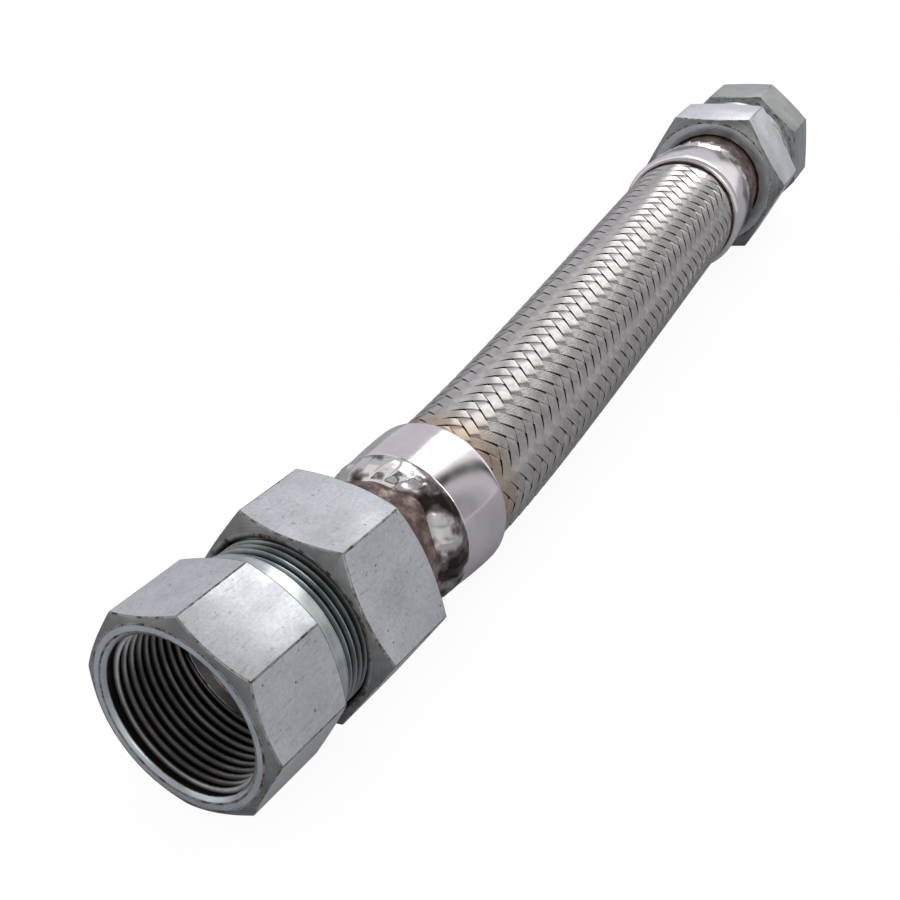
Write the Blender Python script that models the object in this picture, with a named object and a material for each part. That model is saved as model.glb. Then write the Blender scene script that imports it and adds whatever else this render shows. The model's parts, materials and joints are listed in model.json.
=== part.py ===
"""Braided stainless steel hose, a plated union with a female pipe thread at each end.

Metres, +Z up. The near end points to -X and the hose runs towards +X. Every turned piece
is drawn along its own axis: station 0 is the plane of the union nut's front corners, and
stations grow from the open mouth towards the hose.
"""

import math

import bmesh
import bpy
from mathutils import Matrix, Vector

MM = 0.001

# How far apart two pieces that seat on each other are drawn.
SEAT = 0.3 * MM

# Braid, a woven sleeve whose ends lie flat under the ferrules. Its radius sets the width
# of the fittings too, through the walls and steps that are named with each piece.
BRAID_RADIUS = 19.3 * MM
BRAID_RELIEF = 0.45 * MM
BRAID_WALL = 1.3 * MM
BRAID_STEP = 2.6 * MM
BRAID_COLUMNS = 36
BRAID_INNER_SIDES = 8

# Corrugated hose, the pressure-tight wall inside the braid.
HOSE_CREST_RADIUS = BRAID_RADIUS - BRAID_WALL - SEAT
HOSE_FOLD_DEPTH = 3.1 * MM
HOSE_ROOT_RADIUS = HOSE_CREST_RADIUS - HOSE_FOLD_DEPTH
HOSE_WALL = 0.6 * MM
HOSE_STEP = 5.5 * MM
HOSE_CUFF = 12 * MM
HOSE_SIDES = 16

# Ferrule, the polished sleeve over the end of the braid.
FERRULE_LENGTH = 18.7 * MM
FERRULE_SHOULDER = 5 * MM
FERRULE_INNER_RADIUS = BRAID_RADIUS - BRAID_RELIEF + SEAT
FERRULE_LIP_RADIUS = BRAID_RADIUS + 0.8 * MM
FERRULE_FRONT_RADIUS = BRAID_RADIUS + 1.4 * MM
FERRULE_RADIUS = BRAID_RADIUS + 2.4 * MM
FERRULE_LIP_SIDES = 3

# Tail, the flanged sleeve that the nut turns on.
NECK_RADIUS = BRAID_RADIUS - 0.5 * MM
TAIL_WALL = 4.4 * MM
TAIL_BORE_RADIUS = NECK_RADIUS - TAIL_WALL
FLANGE_THICKNESS = 4 * MM
TAIL_SIDES = 32

# Weld bead, which joins tail and ferrule. The crown gives its height from front to back.
WELD_LENGTH = 8 * MM
WELD_EDGE = 0.2 * MM
WELD_HEIGHT = 2.1 * MM
WELD_CROWN = (0, 0.62, 1, 0.86, 0.72)
WELD_LUMP = 0.35 * MM
WELD_LUMPS = 11
WELD_SIDES = 3 * WELD_LUMPS

# Union thread between adapter and nut, drawn plain at its outer radius.
UNION_THREAD_STEP = 3.3 * MM
UNION_THREAD_GAP = 0.7 * MM
UNION_THREAD_RADIUS = NECK_RADIUS + UNION_THREAD_STEP

# Union nut, a hexagon that turns on the tail and pulls the adapter in.
NECK_GAP = 0.6 * MM
NUT_HOLE_RADIUS = NECK_RADIUS + NECK_GAP
NUT_BORE_RADIUS = UNION_THREAD_RADIUS + UNION_THREAD_GAP
NUT_RIM = 1.2 * MM
NUT_FACE_RADIUS = NUT_BORE_RADIUS + NUT_RIM
NUT_FLATS = 2 * (NUT_FACE_RADIUS + 1 * MM)
NUT_CORNER_LENGTH = 21.6 * MM
NUT_SHOULDER = 7.4 * MM
CHAMFER_ANGLE = math.radians(30)

# Flange of the tail and the flat gasket in front of it, both loose in the nut's bore.
FLANGE_RADIUS = NUT_BORE_RADIUS - 1.2 * MM
GASKET_THICKNESS = 2 * MM
GASKET_WIDTH = 5 * MM
GASKET_OUTER_RADIUS = FLANGE_RADIUS - 0.1 * MM
GASKET_INNER_RADIUS = GASKET_OUTER_RADIUS - GASKET_WIDTH
GASKET_SIDES = 24

# Adapter, an octagon with the female pipe thread in its mouth.
LAND_RADIUS = UNION_THREAD_RADIUS + 0.8 * MM
LAND_LENGTH = 4.5 * MM
ADAPTER_BACK_RADIUS = LAND_RADIUS + 1.1 * MM
ADAPTER_FACE_RADIUS = ADAPTER_BACK_RADIUS - 0.8 * MM
ADAPTER_FLATS = 2 * (ADAPTER_BACK_RADIUS + 0.5 * MM)
ADAPTER_CORNER_LENGTH = 22.3 * MM
PIPE_THREAD_RADIUS = UNION_THREAD_RADIUS - 1.8 * MM
PIPE_THREAD_LENGTH = 25 * MM
MOUTH_CHAMFER = 1.1 * MM
BORE_STEP = 1.7 * MM
ADAPTER_BORE_RADIUS = PIPE_THREAD_RADIUS - BORE_STEP
THREAD_END_CHAMFER = 1.2 * MM

# Where the far nut's front corners stand, seen from the near ones, and the direction of
# the far end, which comes from the gentle set of the hose.
FAR_DISTANCE = 312.7 * MM
FAR_LEFT = 18.5 * MM
FAR_UP = 16.8 * MM
FAR_YAW = math.radians(6.5)
FAR_PITCH = math.radians(-1.1)

# How soon the hose turns out of a ferrule, as a share of the span between the two lips.
GUIDE_SHARE = 0.18
CURVE_STEPS = 200

# What differs from one end to the other.
NEAR_NECK_SHOWN = 12.6 * MM
FAR_NECK_SHOWN = 12.6 * MM
NEAR_THREAD_SHOWN = 15.5 * MM
FAR_THREAD_SHOWN = 16.5 * MM
NEAR_NUT_ROLL = math.radians(0)
FAR_NUT_ROLL = math.radians(7.8)
NEAR_ADAPTER_ROLL = math.radians(1.1)
FAR_ADAPTER_ROLL = math.radians(-13.1)

# The side that the hose lies on, as an angle about the near axis from +Y towards +Z.
LYING_SIDE = math.radians(-90)

# Turned pieces, and how far a cutting bar stands past the blank that it trims.
TURNED_SIDES = 36
BLANK_MARGIN = 1 * MM
PRISM_MARGIN = 5 * MM

# Stations that follow from the sizes above.
FACE_DROP = (NUT_FLATS / math.sqrt(3) - NUT_FACE_RADIUS) * math.tan(CHAMFER_ANGLE)
NUT_FRONT = -FACE_DROP
NUT_BACK = NUT_CORNER_LENGTH + FACE_DROP
SHOULDER_FACE = NUT_BACK - NUT_SHOULDER
FLANGE_FRONT = SHOULDER_FACE - SEAT - FLANGE_THICKNESS
GASKET_FRONT = FLANGE_FRONT - SEAT - GASKET_THICKNESS
ADAPTER_END = GASKET_FRONT - SEAT


def clear_scene():
    for thing in list(bpy.data.objects):
        bpy.data.objects.remove(thing, do_unlink=True)


def finish(name, colour, metallic, roughness):
    """A plain metal or rubber finish."""
    made = bpy.data.materials.new(name)
    made.use_nodes = True
    shader = made.node_tree.nodes["Principled BSDF"]
    shader.inputs["Base Color"].default_value = (*colour, 1)
    shader.inputs["Metallic"].default_value = metallic
    shader.inputs["Roughness"].default_value = roughness
    return made


def add_object(name, mesh_maker, look, place):
    """One named object from a bmesh, its faces pointing out and shaded smooth."""
    bmesh.ops.recalc_face_normals(mesh_maker, faces=mesh_maker.faces)
    mesh = bpy.data.meshes.new(name)
    mesh_maker.to_mesh(mesh)
    mesh_maker.free()
    mesh.shade_smooth()
    mesh.set_sharp_from_angle(angle=math.radians(30))
    made = bpy.data.objects.new(name, mesh)
    mesh.materials.append(look)
    bpy.context.scene.collection.objects.link(made)
    made.matrix_world = place
    return made


def turned(profile, sides=TURNED_SIDES):
    """The ring that a closed outline of (station, radius) points makes about the X axis."""
    bm = bmesh.new()
    points = [bm.verts.new((station, 0, radius)) for station, radius in profile]
    edges = [bm.edges.new((a, b)) for a, b in zip(points, points[1:] + points[:1])]
    bmesh.ops.spin(
        bm, geom=points + edges, axis=(1, 0, 0), cent=(0, 0, 0),
        angle=math.tau, steps=sides, use_merge=True,
    )
    bmesh.ops.remove_doubles(bm, verts=bm.verts, dist=0.001 * MM)
    return bm


def prism(sides, flats, roll, start, end):
    """A solid bar of so many sides, lying along X. The roll turns its first corner from +Y."""
    bm = bmesh.new()
    reach = flats / 2 / math.cos(math.pi / sides)
    corners = []
    for number in range(sides):
        angle = roll + math.tau * number / sides
        corners.append(bm.verts.new((start, reach * math.cos(angle), reach * math.sin(angle))))
    base = bm.faces.new(corners)
    grown = bmesh.ops.extrude_face_region(bm, geom=[base])
    moved = [item for item in grown["geom"] if isinstance(item, bmesh.types.BMVert)]
    bmesh.ops.translate(bm, verts=moved, vec=(end - start, 0, 0))
    return bm


def keep_within(thing, cutter):
    """Leaves of a turned blank what lies inside the bar."""
    cutter.hide_render = True
    cutter.display_type = "WIRE"
    cut = thing.modifiers.new("flats", "BOOLEAN")
    cut.operation = "INTERSECT"
    cut.solver = "EXACT"
    cut.object = cutter


def chamfered(radius, face_radius, edge, inwards):
    """The point where a 30 degree chamfer from a face reaches a radius."""
    return edge + inwards * (radius - face_radius) * math.tan(CHAMFER_ANGLE), radius


def make_nut(name, place, roll, look):
    """Hexagon nut: chamfered at both ends, a plain thread bore and a shoulder behind it."""
    reach = NUT_FLATS / math.sqrt(3) + BLANK_MARGIN
    outline = [
        (NUT_FRONT, NUT_BORE_RADIUS + MOUTH_CHAMFER / 2),
        (NUT_FRONT, NUT_FACE_RADIUS),
        chamfered(reach, NUT_FACE_RADIUS, NUT_FRONT, 1),
        chamfered(reach, NUT_FACE_RADIUS, NUT_BACK, -1),
        (NUT_BACK, NUT_FACE_RADIUS),
        (NUT_BACK, NUT_HOLE_RADIUS),
        (SHOULDER_FACE, NUT_HOLE_RADIUS),
        (SHOULDER_FACE, NUT_BORE_RADIUS),
        (NUT_FRONT + MOUTH_CHAMFER / 2, NUT_BORE_RADIUS),
    ]
    nut = add_object(name, turned(outline), look, place)
    bar = prism(6, NUT_FLATS, roll, NUT_FRONT - PRISM_MARGIN, NUT_BACK + PRISM_MARGIN)
    keep_within(nut, add_object(name + ".flats", bar, look, place))
    return nut


def adapter_stations(thread_shown):
    """Stations of the adapter's mouth, of the back of its octagon and of the land's end."""
    back_corner = -thread_shown
    corner = ADAPTER_FLATS / 2 / math.cos(math.pi / 8)
    front = back_corner - ADAPTER_CORNER_LENGTH
    front -= (corner - ADAPTER_FACE_RADIUS) * math.tan(CHAMFER_ANGLE)
    back = back_corner + (corner - ADAPTER_BACK_RADIUS) * math.tan(CHAMFER_ANGLE)
    return front, back, back + LAND_LENGTH


def make_adapter(name, place, roll, thread_shown, look):
    """Octagon adapter: pipe thread bore in front, union thread behind."""
    front, back, land_end = adapter_stations(thread_shown)
    reach = ADAPTER_FLATS / 2 / math.cos(math.pi / 8) + BLANK_MARGIN
    thread_end = front + PIPE_THREAD_LENGTH
    outline = [
        (front, PIPE_THREAD_RADIUS + MOUTH_CHAMFER),
        (front, ADAPTER_FACE_RADIUS),
        chamfered(reach, ADAPTER_FACE_RADIUS, front, 1),
        chamfered(reach, ADAPTER_BACK_RADIUS, back, -1),
        (back, ADAPTER_BACK_RADIUS),
        (back, LAND_RADIUS),
        (land_end, LAND_RADIUS),
        (land_end, UNION_THREAD_RADIUS),
        (ADAPTER_END - THREAD_END_CHAMFER, UNION_THREAD_RADIUS),
        (ADAPTER_END, UNION_THREAD_RADIUS - THREAD_END_CHAMFER),
        (ADAPTER_END, ADAPTER_BORE_RADIUS),
        (thread_end + BORE_STEP, ADAPTER_BORE_RADIUS),
        (thread_end, PIPE_THREAD_RADIUS),
        (front + MOUTH_CHAMFER, PIPE_THREAD_RADIUS),
    ]
    adapter = add_object(name, turned(outline), look, place)
    bar = prism(8, ADAPTER_FLATS, roll, front - PRISM_MARGIN, ADAPTER_END + PRISM_MARGIN)
    keep_within(adapter, add_object(name + ".flats", bar, look, place))
    return adapter


def make_gasket(name, place, look):
    """Flat ring between adapter and flange."""
    back = GASKET_FRONT + GASKET_THICKNESS
    outline = [
        (GASKET_FRONT, GASKET_INNER_RADIUS),
        (GASKET_FRONT, GASKET_OUTER_RADIUS),
        (back, GASKET_OUTER_RADIUS),
        (back, GASKET_INNER_RADIUS),
    ]
    return add_object(name, turned(outline, GASKET_SIDES), look, place)


def end_stations(neck_shown):
    """Stations of the weld's start, the ferrule's start and the ferrule's lip."""
    weld = NUT_BACK + neck_shown
    ferrule = weld + WELD_LENGTH + SEAT
    return weld, ferrule, ferrule + FERRULE_LENGTH


def make_tail(name, place, neck_shown, look):
    """Flanged sleeve, from the gasket to the end of the hose under the weld."""
    end = end_stations(neck_shown)[1] - SEAT
    back = FLANGE_FRONT + FLANGE_THICKNESS
    outline = [
        (FLANGE_FRONT, TAIL_BORE_RADIUS),
        (FLANGE_FRONT, FLANGE_RADIUS),
        (back, FLANGE_RADIUS),
        (back, NECK_RADIUS),
        (end, NECK_RADIUS),
        (end, TAIL_BORE_RADIUS),
    ]
    return add_object(name, turned(outline, TAIL_SIDES), look, place)


def make_weld(name, place, neck_shown, look):
    """Weld bead round the neck, its back swelling and falling with each pass of the torch."""
    start = end_stations(neck_shown)[0]
    inner = NECK_RADIUS + SEAT
    outline = [(start, inner)]
    for number, share in enumerate(WELD_CROWN):
        station = start + WELD_LENGTH * number / (len(WELD_CROWN) - 1)
        outline.append((station, inner + WELD_EDGE + WELD_HEIGHT * share))
    outline.append((start + WELD_LENGTH, inner))
    bm = turned(outline, WELD_SIDES)
    for vert in bm.verts:
        radius = math.hypot(vert.co.y, vert.co.z)
        crown = (radius - inner - WELD_EDGE) / WELD_HEIGHT
        if crown > 0:
            swell = WELD_LUMP * math.sin(WELD_LUMPS * math.atan2(vert.co.z, vert.co.y))
            vert.co.y *= 1 + swell * crown / radius
            vert.co.z *= 1 + swell * crown / radius
    return add_object(name, bm, look, place)


def make_ferrule(name, place, neck_shown, look):
    """Polished sleeve: it flares a little and rolls in to a lip on the braid."""
    start, lip = end_stations(neck_shown)[1:]
    shoulder = lip - FERRULE_SHOULDER
    outline = [(start, FERRULE_INNER_RADIUS), (start, FERRULE_FRONT_RADIUS)]
    outline.append(((start + shoulder) / 2, FERRULE_RADIUS))
    for number in range(FERRULE_LIP_SIDES + 1):
        angle = math.pi / 2 * number / FERRULE_LIP_SIDES
        drop = (FERRULE_RADIUS - FERRULE_LIP_RADIUS) * (1 - math.cos(angle))
        outline.append((shoulder + FERRULE_SHOULDER * math.sin(angle), FERRULE_RADIUS - drop))
    outline.append((lip, FERRULE_INNER_RADIUS))
    return add_object(name, turned(outline), look, place)


class Centreline:
    """The hose's middle: straight in both ferrules and one smooth curve between them."""

    def __init__(self, near, far, up, near_start, far_start, near_lip, far_lip):
        self.near, self.far, self.up = near, far, up
        self.first = self.point(near, near_lip)
        self.last = self.point(far, far_lip)
        span = (self.last - self.first).length
        self.guides = (
            self.first,
            self.first + self.direction(near) * span * GUIDE_SHARE,
            self.last + self.direction(far) * span * GUIDE_SHARE,
            self.last,
        )
        self.near_length = near_lip - near_start
        self.far_length = far_lip - far_start
        self.marks = [0]
        for k in range(CURVE_STEPS):
            step = (self.curve((k + 1) / CURVE_STEPS) - self.curve(k / CURVE_STEPS)).length
            self.marks.append(self.marks[-1] + step)
        self.curve_length = self.marks[-1]
        self.length = self.near_length + self.curve_length + self.far_length

    @staticmethod
    def point(end, station):
        return end @ Vector((station, 0, 0))

    @staticmethod
    def direction(end):
        return (end.to_3x3() @ Vector((1, 0, 0))).normalized()

    def curve(self, share):
        a, b, c, d = self.guides
        rest = 1 - share
        return a * rest**3 + b * 3 * rest**2 * share + c * 3 * rest * share**2 + d * share**3

    def share(self, along):
        """The curve's own parameter at a length from the near lip."""
        k = sum(mark <= along for mark in self.marks[1:-1])
        low, high = self.marks[k], self.marks[k + 1]
        return (k + (along - low) / (high - low)) / CURVE_STEPS

    def at(self, distance):
        """Centre of the hose at a distance from its near end."""
        if distance < self.near_length:
            return self.first + self.direction(self.near) * (distance - self.near_length)
        along = distance - self.near_length
        if along > self.curve_length:
            return self.last - self.direction(self.far) * (along - self.curve_length)
        return self.curve(self.share(along))

    def frame(self, distance):
        """Centre, and two directions across the hose."""
        small = 0.05 * MM
        back = self.at(max(distance - small, 0))
        ahead = self.at(min(distance + small, self.length))
        along = (ahead - back).normalized()
        side = self.up.cross(along).normalized()
        return self.at(distance), side, along.cross(side)


def tube(line, rings, sides):
    """A closed wall from (distance, radius) rings that run out and back along a centreline.
    A ring may give one radius for its even columns and another for its odd ones."""
    bm = bmesh.new()
    loops = []
    for distance, even, odd in rings:
        centre, side, up = line.frame(distance)
        loop = []
        for number in range(sides):
            angle = math.tau * number / sides
            radius = odd if number % 2 else even
            across = side * math.cos(angle) + up * math.sin(angle)
            loop.append(bm.verts.new(centre + across * radius))
        loops.append((loop, even, odd))
    for (one, even, odd), (two, _, _) in zip(loops, loops[1:] + loops[:1]):
        for number in range(sides):
            after = (number + 1) % sides
            corners = (one[number], one[after], two[after], two[number])
            high_first = (even > odd) if number % 2 == 0 else (odd > even)
            if even == odd:
                bm.faces.new(corners)
            elif high_first:
                bm.faces.new((corners[0], corners[1], corners[2]))
                bm.faces.new((corners[0], corners[2], corners[3]))
            else:
                bm.faces.new((corners[0], corners[1], corners[3]))
                bm.faces.new((corners[1], corners[2], corners[3]))
    return bm


def make_braid(name, line, look):
    """Woven sleeve: crossing ridges with a hollow in every eye, flat under the ferrules."""
    flat = BRAID_RADIUS - BRAID_RELIEF
    inner = BRAID_RADIUS - BRAID_WALL
    near_lip, far_lip = line.near_length, line.length - line.far_length
    start, end = near_lip + BRAID_STEP, far_lip - BRAID_STEP
    count = 2 * round((end - start) / BRAID_STEP / 2)
    rings = [(0, flat, flat), (near_lip, flat, flat)]
    for number in range(count + 1):
        distance = start + (end - start) * number / count
        high, low = BRAID_RADIUS + BRAID_RELIEF, BRAID_RADIUS - BRAID_RELIEF
        rings.append((distance, high, low) if number % 2 == 0 else (distance, low, high))
    rings += [(far_lip, flat, flat), (line.length, flat, flat)]
    inner_step = line.curve_length / BRAID_INNER_SIDES
    inside = [line.length]
    inside += [far_lip - inner_step * number for number in range(BRAID_INNER_SIDES)]
    inside += [near_lip, 0]
    rings += [(distance, inner, inner) for distance in inside]
    return add_object(name, tube(line, rings, BRAID_COLUMNS), look, Matrix())


def make_hose(name, line, look):
    """Corrugated wall: ring folds between a plain cuff at each end."""
    crest, root = HOSE_CREST_RADIUS, HOSE_ROOT_RADIUS
    start, end = HOSE_CUFF, line.length - HOSE_CUFF
    count = 2 * round((end - start) / HOSE_STEP / 2)
    outer = [(0, crest)]
    for number in range(count + 1):
        distance = start + (end - start) * number / count
        outer.append((distance, crest if number % 2 == 0 else root))
    outer.append((line.length, crest))
    rings = [(distance, radius, radius) for distance, radius in outer]
    rings += [
        (distance, radius - HOSE_WALL, radius - HOSE_WALL)
        for distance, radius in reversed(outer)
    ]
    return add_object(name, tube(line, rings, HOSE_SIDES), look, Matrix())


def end_corners(place, nut_roll, adapter_roll, thread_shown):
    """The outermost points of one end: the corners and flats of nut and adapter, the mouth."""
    mouth, back, _ = adapter_stations(thread_shown)
    front_corner = -thread_shown - ADAPTER_CORNER_LENGTH
    rise = math.tan(CHAMFER_ANGLE)
    nut_inset = (NUT_FLATS / 2 - NUT_FACE_RADIUS) * rise
    front_inset = (ADAPTER_FLATS / 2 - ADAPTER_FACE_RADIUS) * rise
    back_inset = (ADAPTER_FLATS / 2 - ADAPTER_BACK_RADIUS) * rise
    round_share = math.cos(math.pi / TURNED_SIDES)
    bars = (
        (6, NUT_FLATS, nut_roll, 0, NUT_CORNER_LENGTH),
        (TURNED_SIDES, NUT_FLATS * round_share, 0, NUT_FRONT + nut_inset, NUT_BACK - nut_inset),
        (8, ADAPTER_FLATS, adapter_roll, front_corner, -thread_shown),
        (TURNED_SIDES, ADAPTER_FLATS * round_share, 0, mouth + front_inset, back - back_inset),
        (TURNED_SIDES, 2 * ADAPTER_FACE_RADIUS * round_share, 0, mouth, back),
    )
    points = []
    for sides, flats, roll, start, end in bars:
        bar = prism(sides, flats, roll, start, end)
        points += [place @ vert.co for vert in bar.verts]
        bar.free()
    return points


def lying_place(points, down):
    """The turn and shift that lay the object on the flat side nearest to a direction."""
    bm = bmesh.new()
    for point in points:
        bm.verts.new(point)
    bmesh.ops.convex_hull(bm, input=bm.verts)
    bm.normal_update()
    middle = sum(points, Vector()) / len(points)
    best = None
    for face in bm.faces:
        corners = [loop.vert.co for loop in face.loops]
        foot = middle - face.normal * (middle - corners[0]).dot(face.normal)
        inside = all(
            (b - a).cross(foot - a).dot(face.normal) > 0
            for a, b in zip(corners, corners[1:] + corners[:1])
        )
        if inside and (best is None or face.normal.dot(down) > best.dot(down)):
            best = face.normal.copy()
    bm.free()
    along = Vector((1, 0, 0))
    up = -best
    along = (along - up * along.dot(up)).normalized()
    turn = Matrix((along, up.cross(along), up)).to_4x4()
    turned_points = [turn @ point for point in points]
    low = Vector(min(point[axis] for point in turned_points) for axis in range(3))
    high = Vector(max(point[axis] for point in turned_points) for axis in range(3))
    shift = Vector((-(low.x + high.x) / 2, -(low.y + high.y) / 2, -low.z))
    return Matrix.Translation(shift) @ turn


def build():
    clear_scene()
    plated = finish("zinc plated steel", (0.55, 0.58, 0.59), 1, 0.42)
    polished = finish("polished stainless steel", (0.72, 0.68, 0.67), 1, 0.16)
    woven = finish("stainless steel wire", (0.63, 0.60, 0.56), 1, 0.25)
    bright = finish("bright stainless steel", (0.60, 0.57, 0.55), 1, 0.3)
    rusty = finish("rusted steel", (0.25, 0.14, 0.10), 0.4, 0.7)
    fibre = finish("gasket fibre", (0.10, 0.10, 0.11), 0, 0.8)

    near = Matrix()
    far_turn = Matrix.Rotation(FAR_YAW, 4, "Z") @ Matrix.Rotation(-FAR_PITCH, 4, "Y")
    far_place = Matrix.Translation((FAR_DISTANCE, FAR_LEFT, FAR_UP))
    far = far_place @ far_turn @ Matrix.Rotation(math.pi, 4, "Z")
    down = Vector((0, math.cos(LYING_SIDE), math.sin(LYING_SIDE)))
    points = end_corners(near, NEAR_NUT_ROLL, NEAR_ADAPTER_ROLL, NEAR_THREAD_SHOWN)
    points += end_corners(far, FAR_NUT_ROLL, FAR_ADAPTER_ROLL, FAR_THREAD_SHOWN)
    lying = lying_place(points, down)
    near, far = lying @ near, lying @ far

    ends = (
        ("near", near, NEAR_NECK_SHOWN, NEAR_THREAD_SHOWN, NEAR_NUT_ROLL, NEAR_ADAPTER_ROLL),
        ("far", far, FAR_NECK_SHOWN, FAR_THREAD_SHOWN, FAR_NUT_ROLL, FAR_ADAPTER_ROLL),
    )
    for side, place, neck, thread, nut_roll, adapter_roll in ends:
        make_adapter("adapter_" + side, place, adapter_roll, thread, plated)
        make_nut("union_nut_" + side, place, nut_roll, plated)
        make_gasket("gasket_" + side, place, fibre)
        make_tail("tail_" + side, place, neck, rusty)
        make_weld("weld_bead_" + side, place, neck, bright)
        make_ferrule("ferrule_" + side, place, neck, polished)
    near_start, near_lip = end_stations(NEAR_NECK_SHOWN)[1:]
    far_start, far_lip = end_stations(FAR_NECK_SHOWN)[1:]
    up = (lying.to_3x3() @ Vector((0, 0, 1))).normalized()
    line = Centreline(near, far, up, near_start, far_start, near_lip, far_lip)
    make_braid("braid", line, woven)
    make_hose("corrugated_hose", line, bright)


build()
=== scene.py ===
# %% [markdown]
# # A braided stainless steel hose
#
# This lesson dresses a short metal hose for the camera. The real one is a thin corrugated
# tube inside a sleeve of woven steel wire. At each end a polished ferrule holds the braid, a
# weld bead joins it to a steel neck, and a hexagon union nut draws an octagon adapter with a
# pipe thread in its mouth up to that neck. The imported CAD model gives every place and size,
# and this file gives the pieces the edges, threads, wires and finishes that a photo shows.

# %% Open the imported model
import json
import math

import bpy
import numpy as np
from mathutils import Matrix, Quaternion, Vector


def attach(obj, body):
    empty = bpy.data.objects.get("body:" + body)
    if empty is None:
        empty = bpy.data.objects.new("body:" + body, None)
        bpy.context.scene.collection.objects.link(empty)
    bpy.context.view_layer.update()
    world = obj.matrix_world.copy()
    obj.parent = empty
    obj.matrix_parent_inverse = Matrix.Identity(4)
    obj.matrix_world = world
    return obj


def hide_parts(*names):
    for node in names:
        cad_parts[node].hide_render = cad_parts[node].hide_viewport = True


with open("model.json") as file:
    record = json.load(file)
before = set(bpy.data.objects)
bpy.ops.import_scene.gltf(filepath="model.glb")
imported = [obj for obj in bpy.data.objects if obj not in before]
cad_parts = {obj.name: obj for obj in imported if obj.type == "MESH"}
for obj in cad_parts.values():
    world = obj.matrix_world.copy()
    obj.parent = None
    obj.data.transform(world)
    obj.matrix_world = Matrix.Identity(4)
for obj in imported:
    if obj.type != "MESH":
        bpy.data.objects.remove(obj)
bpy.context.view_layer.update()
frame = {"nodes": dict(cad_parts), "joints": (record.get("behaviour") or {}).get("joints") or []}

MM = 0.001

# %% [markdown]
# ## Helpers
#
# Blender's operators act on whatever is selected, and the CAD nodes arrive selected, so each
# step first says what it works on. Colours are picked as the hex codes of a colour picker,
# which Blender needs as linear light.

# %% Selection and colour
def only(*things):
    """Selects these objects alone. The first one is the active object."""
    bpy.ops.object.select_all(action="DESELECT")
    for thing in things:
        thing.select_set(True)
    bpy.context.view_layer.objects.active = things[0]


def linear(code):
    """A hex colour as linear red, green and blue, with full alpha."""
    shares = [int(code[place:place + 2], 16) / 255 for place in (1, 3, 5)]
    shares = [v / 12.92 if v <= 0.04045 else ((v + 0.055) / 1.055) ** 2.4 for v in shares]
    return (*shares, 1)


# %% [markdown]
# A material is a tree of nodes. Adding each one by hand takes many lines, so one function adds
# a node with its settings and its links and hands back the socket that the next node reads. A
# finish then reads as a short list, from the pattern to the shader.

# %% One function for every node
def node(tree, kind, inputs=(), stops=(), out=0, **settings):
    """Adds a node and returns one of its outputs. The inputs come in order or by name, each a
    value or the socket that feeds it. Stops are a colour ramp's places and hex colours."""
    made = tree.nodes.new("ShaderNode" + kind)
    for name, value in settings.items():
        setattr(made, name, value)
    for place, value in inputs.items() if isinstance(inputs, dict) else enumerate(inputs):
        if isinstance(value, bpy.types.NodeSocket):
            tree.links.new(value, made.inputs[place])
        else:
            made.inputs[place].default_value = value
    for number, (place, code) in enumerate(stops):
        elements = made.color_ramp.elements
        element = elements[number] if number < len(elements) else elements.new(place)
        element.position = place
        element.color = linear(code)
    return made.outputs[out] if made.outputs else None


# %% [markdown]
# ## The camera
#
# The photo was matched by fitting a camera to the corners of both nuts and both adapters.
# It stands above the near end and looks along the hose, so the near mouth is large and the
# far end small. A lens of about 53 mm on a 36 mm sensor gives the photo's square view.

# %% The camera
CAMERA_PLACE = Vector((-0.33816, -0.15895, 0.22877))
CAMERA_FORWARD = Vector((0.71394, 0.42583, -0.55584))
CAMERA_ROLL = math.radians(1.1)
camera_data = bpy.data.cameras.new("camera")
camera_data.sensor_width = 36
camera_data.lens = 52.9
camera_data.clip_start = 0.01
camera = bpy.data.objects.new("camera", camera_data)
bpy.context.scene.collection.objects.link(camera)
level_view = CAMERA_FORWARD.to_track_quat("-Z", "Y")
camera.rotation_mode = "QUATERNION"
camera.rotation_quaternion = level_view @ Quaternion((0, 0, 1), CAMERA_ROLL)
camera.location = CAMERA_PLACE
bpy.context.scene.camera = camera
print("camera", round(CAMERA_PLACE.length * 1000), "mm from the middle of the hose")

# %% [markdown]
# ## Where the two ends stand
#
# Every fitting is turned on a lathe, so it is drawn along its own axis: station 0 is the
# plane of the nut's front corners, and stations grow from the open mouth towards the hose.
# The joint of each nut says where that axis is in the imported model. The turn of a hexagon or
# octagon about the axis is measured on the CAD piece, from its farthest corner.

# %% Places of the two ends
def end_place(joint_name):
    """The matrix that carries a piece from its lathe axis to its end of the hose."""
    joint = next(one for one in frame["joints"] if one["name"] == joint_name)
    along = Vector(joint["axis"]).normalized()
    up = (Vector((0, 0, 1)) - along * along.z).normalized()
    turn = Matrix((along, up.cross(along), up)).transposed().to_4x4()
    return Matrix.Translation(Vector(joint["pos_m"])) @ turn


def corner_turn(node_name, place):
    """The angle about the axis of a CAD piece's farthest corner, from +Y towards +Z."""
    back = place.inverted()
    points = [back @ vert.co for vert in frame["nodes"][node_name].data.vertices]
    far = max(points, key=lambda point: math.hypot(point.y, point.z))
    return math.atan2(far.z, far.y)


ENDS = {
    "near": {"place": end_place("nut_near_turn"), "thread": 15.5 * MM},
    "far": {"place": end_place("nut_far_turn"), "thread": 16.5 * MM},
}
for side, end in ENDS.items():
    end["nut_turn"] = corner_turn("union_nut_" + side, end["place"])
    end["adapter_turn"] = corner_turn("adapter_" + side, end["place"])
    print(side, "nut corner at", round(math.degrees(end["nut_turn"]), 1), "degrees")

# %% [markdown]
# ## Sizes
#
# The sizes are those of the CAD model, in metres. A visual piece that replaces a CAD node
# keeps its outline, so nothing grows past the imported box.

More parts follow.
